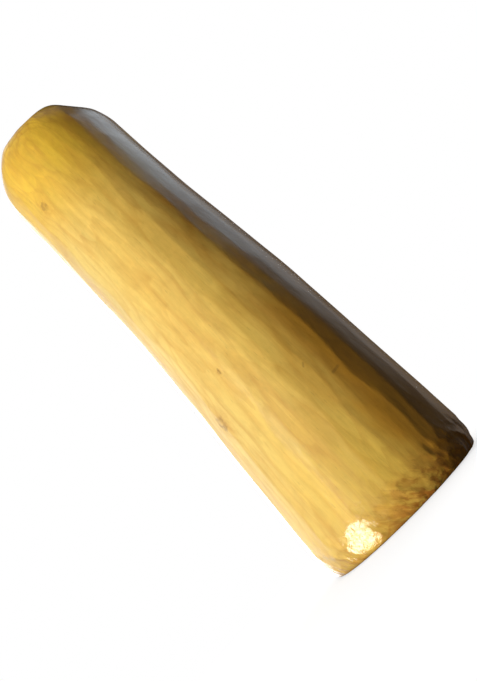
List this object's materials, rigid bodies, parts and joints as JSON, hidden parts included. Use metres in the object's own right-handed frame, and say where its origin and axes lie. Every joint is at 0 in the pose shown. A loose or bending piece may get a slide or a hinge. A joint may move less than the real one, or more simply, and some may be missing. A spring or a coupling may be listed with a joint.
{
  "type": "didgeridoo",
  "caption": "Short, stout carved-wood didgeridoo: two glued log halves with a flaring bore, long hand-cut facets, a rounded mouth end and a beeswax mouthpiece ring.",
  "frame": {"origin": "centre of the bell's end face, on the bore's axis; the instrument stands on its bell", "axes": "+Z along the bore from the bell to the mouthpiece, Y across the glued seam with the front half at -Y"},
  "size_m": [0.149, 0.1484, 0.466],
  "materials": {
    "lacquered_wood": "gloss",
    "wood_glue": "gloss",
    "beeswax": "satin"
  },
  "bodies": {
    "root": {"front_half": "lacquered_wood", "back_half": "lacquered_wood", "seam_glue": "wood_glue", "mouthpiece_ring": "beeswax"}
  },
  "joints": []
}
